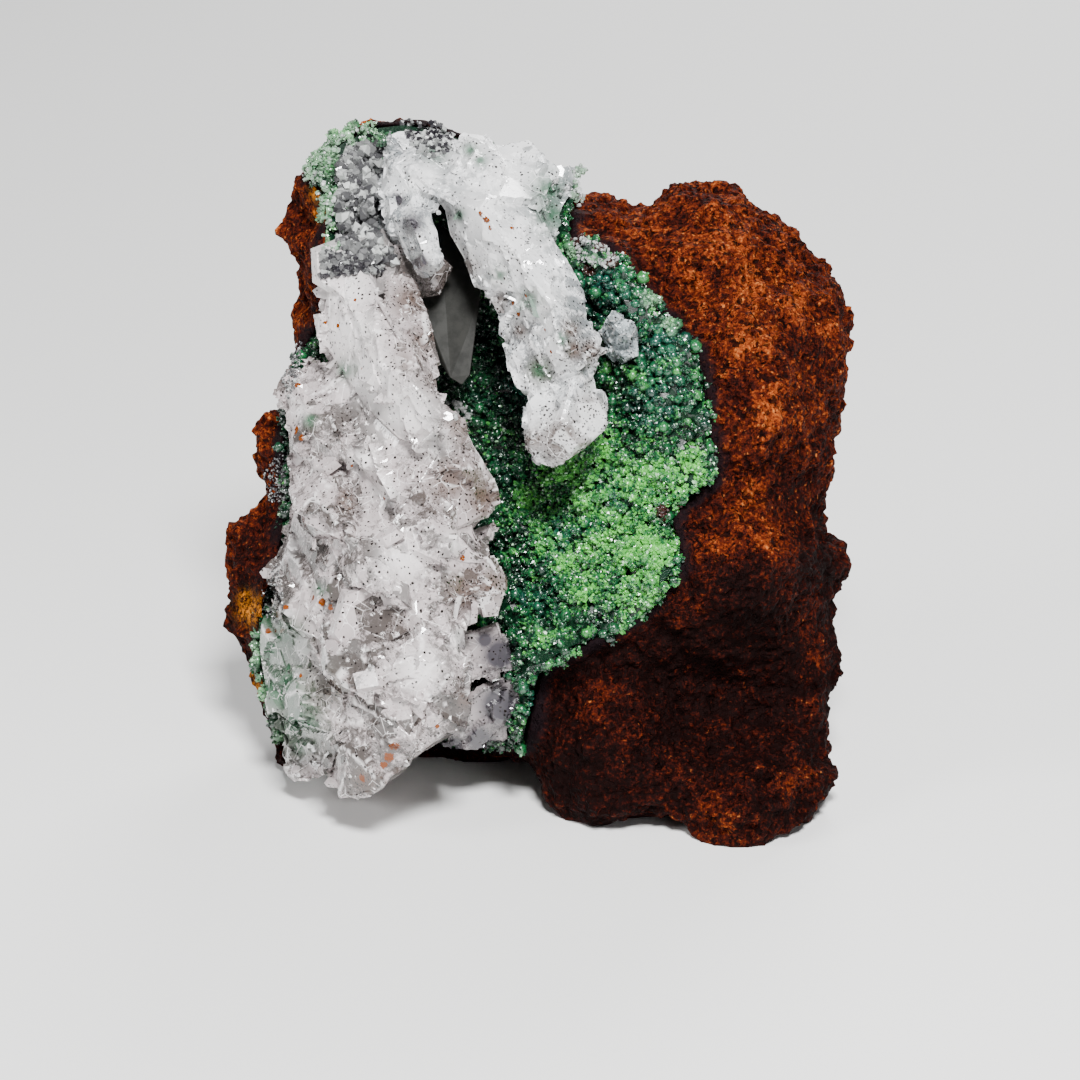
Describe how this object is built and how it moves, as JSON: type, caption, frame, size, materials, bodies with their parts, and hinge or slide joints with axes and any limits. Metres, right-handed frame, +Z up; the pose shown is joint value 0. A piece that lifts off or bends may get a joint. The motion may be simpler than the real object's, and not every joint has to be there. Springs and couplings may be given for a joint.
{
  "type": "mineral specimen of conichalcite with calcite on limonite",
  "caption": "Small cabinet mineral specimen: rusty limonite rock with an open hollow, lined with green conichalcite and part filled by white calcite crystals. Rests on its cut base.",
  "frame": {"origin": "middle of the specimen's box at the surface it rests on", "axes": "+Z up, +X to the right as the hollow is looked into, -Y towards the viewer of the hollow"},
  "size_m": [0.065, 0.0492, 0.0631],
  "materials": {
    "limonite": "rough earthy rust brown",
    "conichalcite": "vitreous green crust",
    "white_calcite": "translucent vitreous crystal",
    "arm_calcite": "translucent vitreous crystal",
    "clear_calcite": "clear grey crystal",
    "grey_calcite": "translucent grey crystal"
  },
  "bodies": {
    "root": {"limonite_matrix": "limonite", "conichalcite_crust": "conichalcite", "calcite_left_cluster": "white_calcite", "calcite_hanging_arm": "arm_calcite", "calcite_window_crystal": "clear_calcite", "calcite_small_cluster": "grey_calcite"}
  },
  "joints": []
}
